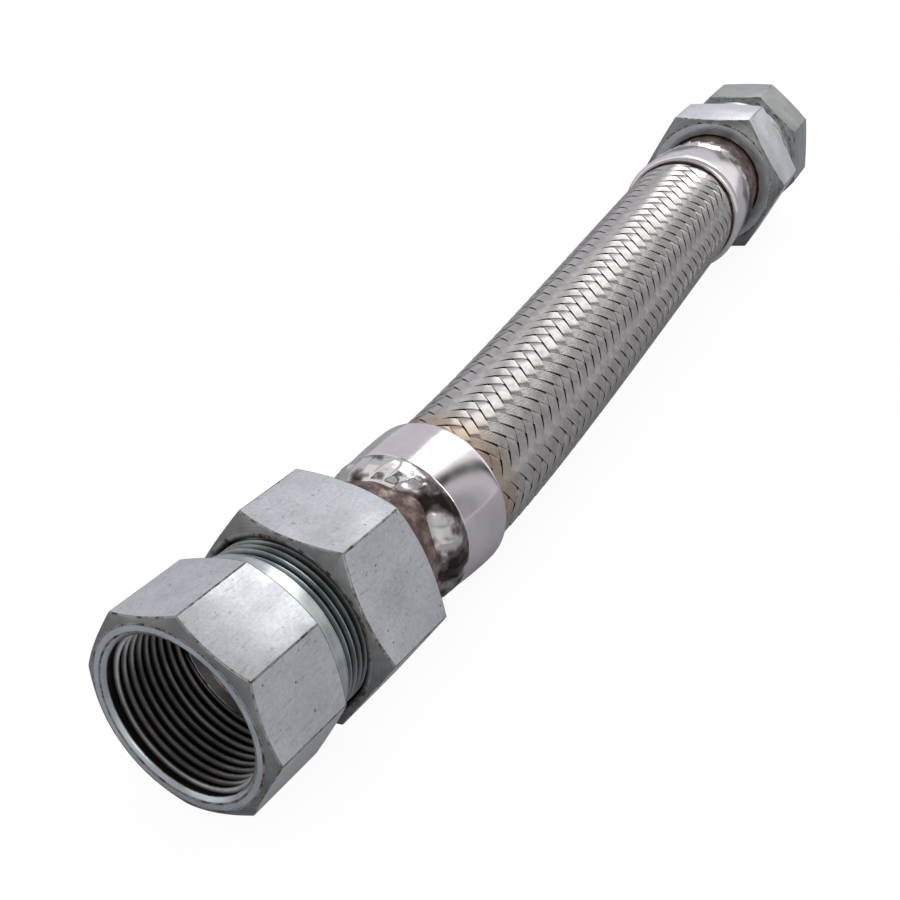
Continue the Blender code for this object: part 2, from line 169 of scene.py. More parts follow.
# %% Sizes shared by several pieces
BRAID_RADIUS = 19.3 * MM
BRAID_RELIEF = 0.45 * MM
NECK_RADIUS = 18.8 * MM
NUT_FLATS = 50 * MM
NUT_CORNER_LENGTH = 21.6 * MM
NUT_FACE_RADIUS = 24 * MM
NUT_BORE_RADIUS = 22.8 * MM
CHAMFER_RISE = math.tan(math.radians(30))
NUT_DROP = (NUT_FLATS / math.sqrt(3) - NUT_FACE_RADIUS) * CHAMFER_RISE
NUT_FRONT = -NUT_DROP
NUT_BACK = NUT_CORNER_LENGTH + NUT_DROP
SHOULDER_FACE = NUT_BACK - 7.4 * MM
FLANGE_FRONT = SHOULDER_FACE - 4.3 * MM
ADAPTER_END = FLANGE_FRONT - 2.6 * MM
NECK_SHOWN = 12.6 * MM
WELD_LENGTH = 8 * MM
FERRULE_LENGTH = 18.7 * MM
SEAT = 0.3 * MM
for end in ENDS.values():
    end["weld"] = NUT_BACK + NECK_SHOWN
    end["ferrule"] = end["weld"] + WELD_LENGTH + SEAT
    end["lip"] = end["ferrule"] + FERRULE_LENGTH
    print("lip of the ferrule at station", round(end["lip"] * 1000, 1), "mm")

# %% [markdown]
# ## Turning on the lathe
#
# A lathe makes rings, so a turned piece starts as a circle round the axis. The circle is
# extruded along the axis and scaled to the next radius, again and again, until the outline
# closes on itself, and then the first and last rings are bridged. That keeps every ring where
# the drawing has it, which a Screw modifier with its loose seam doesn't.

# %% The lathe
def lathe(name, outline, sides):
    """Turns a closed outline of (station, radius) points about the X axis."""
    bpy.ops.object.select_all(action="DESELECT")
    station, radius = outline[0]
    bpy.ops.mesh.primitive_circle_add(
        vertices=sides, radius=radius, location=(station, 0, 0), rotation=(0, math.pi / 2, 0)
    )
    made = bpy.context.object
    made.name = made.data.name = name
    bpy.ops.object.transform_apply(location=True, rotation=True, scale=True)
    bpy.ops.object.mode_set(mode="EDIT")
    bpy.ops.mesh.select_mode(type="EDGE")
    bpy.ops.mesh.select_all(action="SELECT")
    for (x_before, r_before), (x_next, r_next) in zip(outline, outline[1:]):
        step = {"value": (x_next - x_before, 0, 0)}
        bpy.ops.mesh.extrude_region_move(TRANSFORM_OT_translate=step)
        grow = r_next / r_before
        bpy.ops.transform.resize(value=(1, grow, grow), center_override=(x_next, 0, 0))
    bpy.ops.mesh.select_all(action="DESELECT")
    bpy.ops.mesh.select_non_manifold()
    bpy.ops.mesh.bridge_edge_loops()
    bpy.ops.mesh.select_all(action="SELECT")
    bpy.ops.mesh.normals_make_consistent(inside=False)
    bpy.ops.object.mode_set(mode="OBJECT")
    return made


# %% [markdown]
# The hexagon and the octagon could be drawn as prisms, but then the chamfer would meet the
# flats in straight lines. A real bar is chamfered on the lathe, which leaves curved points.
# So the blank is turned first and then intersected with a bar. No real edge is sharp either,
# so a bevel rounds every one of them.

# %% Flats, edges and shading
BAR_LENGTH, EDGE_ANGLE, SMOOTH_ANGLE = 0.2, 25, 35


def trim_to_bar(thing, sides, flats, turn):
    """Cuts a turned blank down to the flats of a bar with so many sides."""
    reach = flats / 2 / math.cos(math.pi / sides)
    bpy.ops.object.select_all(action="DESELECT")
    bpy.ops.mesh.primitive_cylinder_add(
        vertices=sides, radius=reach, depth=BAR_LENGTH, rotation=(0, math.pi / 2, 0)
    )
    bar = bpy.context.object
    bpy.ops.object.transform_apply(location=True, rotation=True, scale=True)
    bar.data.transform(Matrix.Rotation(turn, 4, "X"))
    only(thing)
    cut = thing.modifiers.new("flats", "BOOLEAN")
    cut.operation = "INTERSECT"
    cut.solver = "EXACT"
    cut.object = bar
    bpy.ops.object.modifier_apply(modifier=cut.name)
    bpy.data.objects.remove(bar, do_unlink=True)


def break_edges(thing, width, material):
    """Rounds every sharp edge, as filing and wear do, and gives the round its own finish."""
    only(thing)
    edge = thing.modifiers.new("edges", "BEVEL")
    edge.width = width
    edge.segments = 2
    edge.limit_method = "ANGLE"
    edge.angle_limit = math.radians(EDGE_ANGLE)
    edge.material = material
    bpy.ops.object.modifier_apply(modifier=edge.name)


def settle(thing, place, angle=SMOOTH_ANGLE):
    """Shades a finished piece and writes its place into its mesh."""
    only(thing)
    bpy.ops.object.shade_smooth_by_angle(angle=math.radians(angle))
    thing.data.transform(place)
    thing.data.update()
    print(thing.name, "has", len(thing.data.polygons), "faces")


# %% [markdown]
# ## Winding a strip
#
# Screw threads and the bands of the braid are long strips that run round in a helix. Each
# starts as a flat grid, as a strip cut from a roll, and its points are then wound into place
# by a formula. The grid's two long edges meet, so they are merged, its two ends are filled,
# and the result is a closed body.

# %% Wound strips
def flat_strip(name, rows, columns):
    """A flat grid, with the row and the column number of each of its points."""
    bpy.ops.object.select_all(action="DESELECT")
    bpy.ops.mesh.primitive_grid_add(x_subdivisions=rows - 1, y_subdivisions=columns - 1, size=2)
    made = bpy.context.object
    made.name = made.data.name = name
    flat = np.empty(len(made.data.vertices) * 3)
    made.data.vertices.foreach_get("co", flat)
    flat = flat.reshape(-1, 3)
    row = np.rint((flat[:, 0] + 1) / 2 * (rows - 1)).astype(int)
    column = np.rint((flat[:, 1] + 1) / 2 * (columns - 1)).astype(int)
    return made, row, column


def close_strip(thing):
    """Merges the seam of a wound strip, fills its ends and turns its faces outwards."""
    only(thing)
    bpy.ops.object.mode_set(mode="EDIT")
    bpy.ops.mesh.select_mode(type="VERT")
    bpy.ops.mesh.select_all(action="SELECT")
    bpy.ops.mesh.remove_doubles(threshold=0.001 * MM)
    bpy.ops.mesh.select_all(action="DESELECT")
    bpy.ops.mesh.select_non_manifold()
    bpy.ops.mesh.fill_holes(sides=0)
    bpy.ops.mesh.select_all(action="SELECT")
    bpy.ops.mesh.normals_make_consistent(inside=False)
    bpy.ops.object.mode_set(mode="OBJECT")


# %% A screw thread
THREAD_STEPS = 72
THREAD_PROFILE = np.array([(-0.36, -0.2), (-0.07, 1.0), (0.07, 1.0), (0.36, -0.2), (-0.36, -0.2)])
RUN_OUT, RUN_OUT_END = 0.3, 0.04


def screw_thread(name, start, turns, pitch, root, crest):
    """A helical ridge. It runs out into the wall over the first and last part of a turn."""
    rows = turns * THREAD_STEPS + 1
    made, row, column = flat_strip(name, rows, len(THREAD_PROFILE))
    turn = row / THREAD_STEPS
    angle = turn * math.tau
    beside, rise = THREAD_PROFILE[column].T
    run_out = np.clip(np.minimum(turn, turns - turn) / RUN_OUT, RUN_OUT_END, 1)
    rise = rise * np.where(rise > 0, run_out, 1)
    radius = root + (crest - root) * rise
    x = start + (turn + beside) * pitch
    points = np.stack([x, radius * np.cos(angle), radius * np.sin(angle)], axis=1)
    made.data.vertices.foreach_set("co", points.ravel())
    close_strip(made)
    return made


# %% [markdown]
# ## Finishes
#
# The fittings are zinc-plated steel: matte, a little blue, mottled, with fine dark pits and
# brown specks where the plating is thin. What the lathe cut last, the chamfers, faces and
# threads, is darker or brighter than the drawn flats and shows turning rings. All patterns
# read the piece's own coordinates in metres, so one unit of scale is one metre.

# %% Start of every finish
def empty_tree(owner):
    """The node tree of a material or of the world, without the nodes it starts with."""
    owner.use_nodes = True
    owner.node_tree.nodes.clear()
    return owner.node_tree


def new_finish(name):
    """An empty material, its tree of nodes, and the piece's own coordinates in metres."""
    made = bpy.data.materials.new(name)
    tree = empty_tree(made)
    return made, tree, node(tree, "TexCoord", out="Object")


# %% Zinc-plated steel, drawn flats
# Each mark: the spacing, detail and roughness of its pattern, the part of the pattern where
# it sets in with its strength at both ends of that part, and its colour.
PLATING_CLOUDS, ALONG_BAR = 9 * MM, (0.12, 1, 1)
PLATING_MARKS = {
    "grain": (0.8 * MM, 5, 0.75, (0.35, 0.65, 0.34, 0), "#8C8E8D"),
    "scratches": (0.5 * MM, 3, 0.7, (0.3, 0.42, 0.5, 0), "#8A8C8C"),
    "pits": (1.6 * MM, 3, 0.6, (0.28, 0.32, 0.9, 0), "#5F5A55"),
    "rust": (3.4 * MM, 6, 0.75, (0.64, 0.72, 0, 0.7), "#8A6E5C"),
}


def plated_flats(name, low, middle, high):
    """Zinc-plated cold-drawn steel. The matte plating spreads light and shows pits. The
    scratches of drawing run along the bar, so their pattern is stretched along X."""
    made, tree, where = new_finish(name)
    clouds = node(tree, "TexNoise", {"Vector": where, "Scale": 1 / PLATING_CLOUDS,
                                     "Detail": 4, "Roughness": 0.55})
    colour = node(tree, "ValToRGB", [clouds], [(0.3, low), (0.5, middle), (0.72, high)])
    drawn = node(tree, "Mapping", {"Vector": where, "Scale": ALONG_BAR})
    patterns = {}
    for mark, (spacing, detail, rough, strength, shade) in PLATING_MARKS.items():
        pattern = node(tree, "TexNoise", {"Vector": drawn if mark == "scratches" else where,
                                          "Scale": 1 / spacing,
                                          "Detail": detail, "Roughness": rough})
        patterns[mark] = pattern
        share = node(tree, "MapRange", [pattern, *strength])
        colour = node(tree, "Mix", {0: share, 6: colour, 7: linear(shade)},
                      out=2, data_type="RGBA")
    dull = node(tree, "MapRange", [clouds, 0.3, 0.7, 0.5, 0.36])
    relief = node(tree, "Bump", {"Height": patterns["grain"], "Strength": 0.25,
                                  "Distance": 0.06 * MM})
    metal = node(tree, "BsdfPrincipled", {"Base Color": colour, "Metallic": 0.85,
                                          "Roughness": dull, "Normal": relief})
    node(tree, "OutputMaterial", {"Surface": metal})
    return made


FLATS = plated_flats("zinc-plated steel, drawn flats", "#C5C8CB", "#D2D5D9", "#DDE0E5")
# A darker copy of the plated flats, as painted shade on the far adapter.
SHADED_FLATS = plated_flats("zinc-plated steel, flats in painted shade", "#8F9493", "#9A9F9E", "#A5AAA8")
print("made", FLATS.name, "and", SHADED_FLATS.name)

# %% [markdown]
# A lathe leaves fine rings round the axis. A ring pattern could be painted on unwrapped faces,
# but a turned piece only needs its distance from the axis: two fittings stand at different
# slants, so a Mapping node first turns the coordinates to the fitting's own axis.

# %% Distance from the lathe axis
def from_axis(tree, where, place):
    """The station along a fitting's lathe axis, the place beside it and the radius."""
    back = place.inverted()
    turned = {"Vector": where, "Location": back.translation, "Rotation": back.to_euler()}
    local = node(tree, "Mapping", turned)
    station = node(tree, "SeparateXYZ", [local], out="X")
    aside = node(tree, "SeparateXYZ", [local], out="Y")
    flat = node(tree, "VectorMath", [local, (0, 1, 1)], operation="MULTIPLY")
    radius = node(tree, "VectorMath", [flat], out="Value", operation="LENGTH")
    return station, aside, radius


# %% Turned steel
TURNED_CLOUDS = 6 * MM


def turned_steel(name, place, dark, pale, ring, roughness, groove_shade=None):
    """Plated steel as the lathe left it, with rings a set distance apart. A thread also has
    its groove shade, painted darker at the bottom: the radius where it is full, the radius
    where it is gone, and its colour."""
    made, tree, where = new_finish(name)
    station, _, radius = from_axis(tree, where, place)
    across = node(tree, "Math", [radius, station], operation="ADD")
    rings_at = node(tree, "CombineXYZ", [across])
    rings = node(tree, "TexNoise", {"Vector": rings_at, "Scale": 1 / ring,
                                    "Detail": 2, "Roughness": 0.55})
    clouds = node(tree, "TexNoise", {"Vector": where, "Scale": 1 / TURNED_CLOUDS,
                                     "Detail": 4, "Roughness": 0.55})
    both = node(tree, "Math", [rings, clouds], operation="ADD")
    share = node(tree, "MapRange", [both, 0.7, 1.3, 0, 1])
    colour = node(tree, "ValToRGB", [share], [(0, dark), (1, pale)])
    # A thread's bottom is painted darker as shade, and its crests are left pale.
    if groove_shade:
        bottom, crest, shade_colour = groove_shade
        share = node(tree, "MapRange", [radius, bottom, crest, 0, 1])
        colour = node(tree, "Mix", {0: share, 6: linear(shade_colour), 7: colour},
                      out=2, data_type="RGBA")
    dull = node(tree, "MapRange", [rings, 0.3, 0.7, roughness - 0.08, roughness + 0.08])
    relief = node(tree, "Bump", {"Height": rings, "Strength": 0.3, "Distance": 0.05 * MM})
    metal = node(tree, "BsdfPrincipled", {"Base Color": colour, "Metallic": 0.9,
                                          "Roughness": dull, "Normal": relief})
    node(tree, "OutputMaterial", {"Surface": metal})
    return made


# %% Worn edge
CHIP_SPACING = 2.6 * MM


def worn_edge():
    """Plated steel at the broken edges: a little darker than the flats, with a few brown chips
    worn through to the steel.
    """
    made, tree, where = new_finish("zinc-plated steel, worn edge")
    chips = node(tree, "TexNoise", {"Vector": where, "Scale": 1 / CHIP_SPACING,
                                    "Detail": 6, "Roughness": 0.75})
    colour = node(tree, "ValToRGB", [chips], [(0.37, "#43352B"), (0.44, "#6F6257"),
                                              (0.5, "#8C908F"), (0.7, "#A3A8A9")])
    relief = node(tree, "Bump", {"Height": chips, "Strength": 0.4, "Distance": 0.1 * MM})
    metal = node(tree, "BsdfPrincipled", {"Base Color": colour, "Metallic": 0.85,
                                          "Roughness": 0.45, "Normal": relief})
    node(tree, "OutputMaterial", {"Surface": metal})
    return made


EDGE = worn_edge()
print("made", EDGE.name)

# %% [markdown]
# The sizes of both threads are needed here too, because the bottom of each thread is
# painted darker as shade and its crests are left pale. The union thread's shade only fades
# out past its crests, so they stay a little dark.

# %% The turned finishes of each end
UNION_ROOT, UNION_CREST, UNION_PITCH = 21.2 * MM, 22.3 * MM, 2 * MM
PIPE_ROOT, PIPE_CREST, PIPE_PITCH = 20.75 * MM, 19.5 * MM, 2.309 * MM
# Groove shade: the radius where the painted shade is full, the radius where it is gone, its
# colour.
UNION_GROOVE_SHADE = (UNION_ROOT, 22.8 * MM, "#3A4244")
PIPE_GROOVE_SHADE = (20.5 * MM, 19.8 * MM, "#2B2321")
TURNED_FINISHES = {
    "chamfer": ("zinc-plated steel, turned chamfer ", "#6A6B6B", "#8E9191", 0.5 * MM, 0.42),
    "face": ("zinc-plated steel, faced ring ", "#A3ACB0", "#D2DADE", 0.35 * MM, 0.28),
    "cut": ("zinc-plated steel, cut thread ", "#A5ADAF", "#DDE3E4", 0.9 * MM, 0.3, UNION_GROOVE_SHADE),
    "bore": ("oiled steel, tapped bore ", "#A09A98", "#E6E6E4", 1.2 * MM, 0.3, PIPE_GROOVE_SHADE),
    # The plain bore deep in the adapter is painted nearly black as shade.
    "plain": ("oiled steel, plain bore ", "#3B3836", "#5F5B58", 1.2 * MM, 0.45),
}
for side, end in ENDS.items():
    for key, (name, *look) in TURNED_FINISHES.items():
        end[key] = turned_steel(name + side, end["place"], *look)
    print(side, "end has", len(TURNED_FINISHES), "turned finishes")

# %% [markdown]
# ## Octagon adapters
#
# The adapter is an octagon bar with a pipe thread cut into its mouth and a union thread on
# its back. Its blank is turned and cut to the octagon's flats. Cutting the threads out of it
# would need long helical knives, so they are helical ridges laid on plain walls instead.

# %% Sizes and slots of the adapters
ADAPTER_FLATS = 49 * MM
ADAPTER_CORNER = ADAPTER_FLATS / 2 / math.cos(math.pi / 8)
CORNER_LENGTH = 22.3 * MM
FACE_RADIUS, BACK_RADIUS, BORE_RADIUS = 23.2 * MM, 24 * MM, 18.6 * MM
LAND_RADIUS, LAND_LENGTH, LAND_SLOPE = 22.9 * MM, 4.5 * MM, 4.9 * MM
MOUTH_RADIUS, RIM_DEPTH, RIM_BACK, RIM_RADIUS = 21.3 * MM, 1.1 * MM, 1.3 * MM, 20 * MM
TAP_DEPTH, TAP_SLOPE = 25 * MM, 1.7 * MM
UNION_START, UNION_TAKEN = 5.4 * MM, 5.2 * MM
PIPE_START, PIPE_TURNS = 1.6 * MM, 10
ADAPTER_EDGE, LAND_FROM, SHADED_BORE_LIMIT = 0.3 * MM, 0.1 * MM, BORE_RADIUS + 1.5 * MM
TURNED_SIDES = 144
SLOT_FLATS, SLOT_CHAMFER, SLOT_FACE, SLOT_CUT, SLOT_BORE, SLOT_EDGE, SLOT_SHADED_BORE = range(7)


def give_slots(thing, end, flats):
    """The finishes of a fitting, in the order of the slot numbers."""
    turned = (end["chamfer"], end["face"], end["cut"], end["bore"])
    for look in (flats, *turned, EDGE, end["plain"]):
        thing.data.materials.append(look)


def sort_faces(thing, rim, mouth, bore_limit):
    """Gives each face its finish by which way it faces and how far from the axis it is."""
    for face in thing.data.polygons:
        middle, normal = face.center, face.normal
        radius = math.hypot(middle.y, middle.z)
        outwards = (normal.y * middle.y + normal.z * middle.z) / max(radius, MM)
        # Faces near the axis, deep in the bore, take the painted shade.
        if radius < bore_limit:
            face.material_index = SLOT_SHADED_BORE
        elif outwards < -0.3 and middle.x > rim:
            face.material_index = SLOT_BORE
        elif abs(normal.x) > 0.95 or outwards < 0:
            face.material_index = SLOT_FACE
        elif abs(normal.x) > 0.3:
            face.material_index = SLOT_CHAMFER
        elif mouth is not None and middle.x > mouth:
            face.material_index = SLOT_CUT
        else:
            face.material_index = SLOT_FLATS


# %% Model the adapters
def adapter_outline(front, back):
    """The turned blank of an adapter, from its mouth outwards and back through its bore."""
    reach = ADAPTER_CORNER + MM
    thread_end = front + TAP_DEPTH
    return [
        (front, MOUTH_RADIUS),
        (front, FACE_RADIUS),
        (front + (reach - FACE_RADIUS) * CHAMFER_RISE, reach),
        (back - (reach - BACK_RADIUS) * CHAMFER_RISE, reach),
        (back, BACK_RADIUS),
        (back, LAND_RADIUS),
        (back + LAND_LENGTH, LAND_RADIUS),
        (back + LAND_SLOPE, UNION_ROOT),
        (ADAPTER_END, UNION_ROOT),
        (ADAPTER_END, BORE_RADIUS),
        (thread_end + TAP_SLOPE, BORE_RADIUS),
        (thread_end, PIPE_ROOT),
        (front + RIM_BACK, PIPE_ROOT),
        (front + RIM_DEPTH, RIM_RADIUS),
    ]


def make_adapter(side):
    """The adapter of one end. The far one's flats take a darker copy of the plating, as painted
    shade.
    """
    end = ENDS[side]
    corner_back = -end["thread"]
    front = corner_back - CORNER_LENGTH - (ADAPTER_CORNER - FACE_RADIUS) * CHAMFER_RISE
    back = corner_back + (ADAPTER_CORNER - BACK_RADIUS) * CHAMFER_RISE
    blank = lathe("adapter_" + side + "_dressed", adapter_outline(front, back), TURNED_SIDES)
    trim_to_bar(blank, 8, ADAPTER_FLATS, end["adapter_turn"])
    give_slots(blank, end, FLATS if side == "near" else SHADED_FLATS)
    sort_faces(blank, front + RIM_DEPTH, back + LAND_FROM, SHADED_BORE_LIMIT)
    break_edges(blank, ADAPTER_EDGE, SLOT_EDGE)
    union_turns = int((ADAPTER_END - back - UNION_TAKEN) / UNION_PITCH)
    union = screw_thread("union thread", back + UNION_START, union_turns, UNION_PITCH,
                         UNION_ROOT, UNION_CREST)
    union.data.materials.append(end["cut"])
    pipe = screw_thread("pipe thread", front + PIPE_START, PIPE_TURNS, PIPE_PITCH,
                        PIPE_ROOT, PIPE_CREST)
    pipe.data.materials.append(end["bore"])
    only(blank, union, pipe)
    bpy.ops.object.join()
    settle(blank, end["place"])
    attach(blank, "adapter_" + side)
    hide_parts("adapter_" + side)


for side in ENDS:
    make_adapter(side)

# %% [markdown]
# ## Union nuts
#
# The nut is a hexagon, chamfered at both ends, with a plain bore over the union thread and a
# shoulder that bears on the flange behind the gasket. It is cut from a turned blank as the
# adapter is.

# %% Model the nuts
NUT_CLEARANCE, NUT_RIM, NUT_EDGE = 0.6 * MM, 0.5 * MM, 0.35 * MM


def make_nut(side):
    """The union nut of one end, bored to turn clear of the neck."""
    end = ENDS[side]
    reach = NUT_FLATS / math.sqrt(3) + MM
    hole = NECK_RADIUS + NUT_CLEARANCE
    outline = [
        (NUT_FRONT, NUT_BORE_RADIUS + NUT_RIM),
        (NUT_FRONT, NUT_FACE_RADIUS),
        (NUT_FRONT + (reach - NUT_FACE_RADIUS) * CHAMFER_RISE, reach),
        (NUT_BACK - (reach - NUT_FACE_RADIUS) * CHAMFER_RISE, reach),
        (NUT_BACK, NUT_FACE_RADIUS),
        (NUT_BACK, hole),
        (SHOULDER_FACE, hole),
        (SHOULDER_FACE, NUT_BORE_RADIUS),
        (NUT_FRONT + NUT_RIM, NUT_BORE_RADIUS),
    ]
    nut = lathe("union_nut_" + side + "_dressed", outline, TURNED_SIDES)
    trim_to_bar(nut, 6, NUT_FLATS, end["nut_turn"])
    give_slots(nut, end, FLATS)
    sort_faces(nut, NUT_FRONT, None, NECK_RADIUS)
    for face in nut.data.polygons:
        if face.material_index == SLOT_FACE and face.center.x < 0:
            face.material_index = SLOT_CHAMFER
    break_edges(nut, NUT_EDGE, SLOT_EDGE)
    settle(nut, end["place"])
    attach(nut, "nut_" + side)
    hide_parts("union_nut_" + side)


for side in ENDS:
    make_nut(side)

# %% [markdown]
# ## Necks
#
# Behind each nut shows the neck of the flanged tail. The heat of welding burned the plating
# off it, so it is bare steel that has rusted to a matte reddish brown. Rust isn't metal, so
# the same noise that picks the colour also lowers the metallic value and raises the roughness.

# %% Rusted steel
RUST_PATCHES, SCALE_GRAIN = 4 * MM, 0.7 * MM


def rusted_steel():
    """Bare steel, scaled by the weld's heat and rusted. It is rough and hardly metallic."""
    made, tree, where = new_finish("rusted steel, heat scaled")
    patches = node(tree, "TexNoise", {"Vector": where, "Scale": 1 / RUST_PATCHES,
                                      "Detail": 5, "Roughness": 0.65})
    colour = node(tree, "ValToRGB", [patches],
                  [(0.3, "#2B211F"), (0.47, "#614C46"), (0.62, "#90817B")])
    bare = node(tree, "MapRange", [patches, 0.4, 0.65, 0.3, 0.8])
    dull = node(tree, "MapRange", [patches, 0.35, 0.65, 0.62, 0.36])
    grain = node(tree, "TexNoise", {"Vector": where, "Scale": 1 / SCALE_GRAIN,
                                    "Detail": 4, "Roughness": 0.55})
    relief = node(tree, "Bump", {"Height": grain, "Strength": 0.5, "Distance": 0.12 * MM})
    steel = node(tree, "BsdfPrincipled", {"Base Color": colour, "Metallic": bare,
                                          "Roughness": dull, "Normal": relief})
    node(tree, "OutputMaterial", {"Surface": steel})
    return made


RUSTED = rusted_steel()
print("made", RUSTED.name)

# %% Model the tails
TAIL_BORE_RADIUS = 14.4 * MM
FLANGE_RADIUS, FLANGE_THICKNESS = 21.6 * MM, 4 * MM
TAIL_SIDES = 96


def make_tail(side):
    """The flanged sleeve that the nut turns on. It ends just before the ferrule."""
    end = ENDS[side]
    flange_back = FLANGE_FRONT + FLANGE_THICKNESS
    stop = end["ferrule"] - SEAT
    outline = [
        (FLANGE_FRONT, TAIL_BORE_RADIUS),
        (FLANGE_FRONT, FLANGE_RADIUS),
        (flange_back, FLANGE_RADIUS),
        (flange_back, NECK_RADIUS),
        (stop, NECK_RADIUS),
        (stop, TAIL_BORE_RADIUS),
    ]
    tail = lathe("tail_" + side + "_dressed", outline, TAIL_SIDES)
    tail.data.materials.append(RUSTED)
    settle(tail, end["place"])
    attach(tail, "hose")
    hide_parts("tail_" + side)


for side in ENDS:
    make_tail(side)

# %% [markdown]
# ## Ferrules
#
# The ferrule is a stainless sleeve pressed over the end of the braid and polished. It flares
# gently from the weld and rolls in to a lip on the braid. A scaled cylinder would have one
# straight wall, so the flare and the roll follow quarter waves along the outline instead. The
# polish is nearly a mirror, so what it shows is mostly the studio round it.

# %% Polished stainless steel
SMEAR_SPACING, POLISH_WAVES = 14 * MM, 2.5 * MM


def polished_steel():
    """Buffed stainless sleeve. A low, slightly uneven roughness gives clean soft highlights."""
    made, tree, where = new_finish("stainless steel, polished")
    smears = node(tree, "TexNoise", {"Vector": where, "Scale": 1 / SMEAR_SPACING,
                                     "Detail": 3, "Roughness": 0.55})
    colour = node(tree, "ValToRGB", [smears], [(0.35, "#D8D0D2"), (0.65, "#E6E0E1")])
    dull = node(tree, "MapRange", [smears, 0.3, 0.7, 0.1, 0.2])
    waves = node(tree, "TexNoise", {"Vector": where, "Scale": 1 / POLISH_WAVES,
                                    "Detail": 2, "Roughness": 0.55})
    relief = node(tree, "Bump", {"Height": waves, "Strength": 0.12, "Distance": 0.05 * MM})
    steel = node(tree, "BsdfPrincipled", {"Base Color": colour, "Metallic": 1,
                                          "Roughness": dull, "Normal": relief})
    node(tree, "OutputMaterial", {"Surface": steel})
    return made


# %% Painted shade on the cut edge of the sleeve
LIP_SHADE_PATCHES = 3 * MM


def lip_shade_finish():
    """The cut end of the sleeve, unpolished and painted dark brown as the shade where the braid
    goes in under it. It is a thin dark ring.
    """
    made, tree, where = new_finish("stainless steel, cut edge in painted shade")
    mottle = node(tree, "TexNoise", {"Vector": where, "Scale": 1 / LIP_SHADE_PATCHES,
                                   "Detail": 3, "Roughness": 0.55})
    colour = node(tree, "ValToRGB", [mottle], [(0.35, "#2A211C"), (0.65, "#4A3D35")])
    steel = node(tree, "BsdfPrincipled",
                 {"Base Color": colour, "Metallic": 0.4, "Roughness": 0.6})
    node(tree, "OutputMaterial", {"Surface": steel})
    return made


POLISHED, LIP_SHADE = polished_steel(), lip_shade_finish()
print("made", POLISHED.name, "and", LIP_SHADE.name)

# %% Model the ferrules
FERRULE_FRONT, FERRULE_WIDEST, LIP_RADIUS = 20.8 * MM, 21.7 * MM, 20.3 * MM
LIP_SHADE_RADIUS, LIP_ROLL, FRONT_BREAK = 19.95 * MM, 2.2 * MM, 0.3 * MM
FLARE_STEPS, ROLL_STEPS, FERRULE_SIDES = 10, 12, 128


def ferrule_outline(start, lip):
    """The sleeve from the weld: a flare along a quarter wave, then the roll to the lip."""
    inner = BRAID_RADIUS - BRAID_RELIEF + SEAT
    flare_start, shoulder = start + FRONT_BREAK, lip - LIP_ROLL
    outline = [(start, inner), (start, FERRULE_FRONT - FRONT_BREAK), (flare_start, FERRULE_FRONT)]
    for step in range(1, FLARE_STEPS + 1):
        share = step / FLARE_STEPS
        rise = (FERRULE_WIDEST - FERRULE_FRONT) * math.sin(share * math.pi / 2)
        outline.append((flare_start + (shoulder - flare_start) * share, FERRULE_FRONT + rise))
    for step in range(1, ROLL_STEPS + 1):
        angle = math.pi / 2 * step / ROLL_STEPS
        drop = (FERRULE_WIDEST - LIP_RADIUS) * (1 - math.cos(angle))
        outline.append((shoulder + LIP_ROLL * math.sin(angle), FERRULE_WIDEST - drop))
    return outline + [(lip, LIP_SHADE_RADIUS), (lip, inner)]


def make_ferrule(side):
    """The polished sleeve of one end, with painted shade on its cut edge as a second finish."""
    end = ENDS[side]
    outline = ferrule_outline(end["ferrule"], end["lip"])
    ferrule = lathe("ferrule_" + side + "_dressed", outline, FERRULE_SIDES)
    ferrule.data.materials.append(POLISHED)
    ferrule.data.materials.append(LIP_SHADE)
    # The inner part of the lip's end face takes the painted shade.
    for face in ferrule.data.polygons:
        if face.normal.x > 0.9 and math.hypot(face.center.y, face.center.z) < LIP_SHADE_RADIUS:
            face.material_index = 1
    settle(ferrule, end["place"])
    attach(ferrule, "hose")
    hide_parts("ferrule_" + side)


for side in ENDS:
    make_ferrule(side)

# %% [markdown]
# ## Weld beads
#
# The bead was laid by hand in short passes, so it swells and sinks round the neck and each
# pass leaves a crescent ripple. Sculpting can't be repeated from a script, and a bump map
# leaves the outline smooth. So a turned ring with many rows is the start, and its points are
# moved out by a height that adds the swelling, the ripples and some random lumps.

# %% Weld metal
SCORCH_PATCHES, WELD_GRAIN = 8 * MM, 1.2 * MM
SIDE_SHIFT_FROM, SIDE_SHIFT_TO = -18 * MM, 10 * MM


def weld_metal():
    """Bright weld bead with scorched patches. Smooth metal mirrors, the scale stays dark. The
    noise is shifted along the near fitting's side axis, so the near bead is darker on one side."""
    made, tree, where = new_finish("stainless weld metal, scorched")
    patches = node(tree, "TexNoise", {"Vector": where, "Scale": 1 / SCORCH_PATCHES,
                                      "Detail": 3, "Roughness": 0.5})
    _, aside, _ = from_axis(tree, where, ENDS["near"]["place"])
    side_shift = node(tree, "MapRange", [aside, SIDE_SHIFT_FROM, SIDE_SHIFT_TO, -0.1, 0.1])
    patches = node(tree, "Math", [patches, side_shift], operation="ADD")
    colour = node(tree, "ValToRGB", [patches],
                  [(0.38, "#332C2A"), (0.46, "#7C7271"), (0.54, "#D6D1CF")])
    dull = node(tree, "MapRange", [patches, 0.38, 0.56, 0.45, 0.14])
    grain = node(tree, "TexNoise", {"Vector": where, "Scale": 1 / WELD_GRAIN,
                                    "Detail": 4, "Roughness": 0.55})
    relief = node(tree, "Bump", {"Height": grain, "Strength": 0.3, "Distance": 0.15 * MM})
    steel = node(tree, "BsdfPrincipled", {"Base Color": colour, "Metallic": 1,
                                          "Roughness": dull, "Normal": relief})
    node(tree, "OutputMaterial", {"Surface": steel})
    return made


WELD = weld_metal()
print("made", WELD.name)

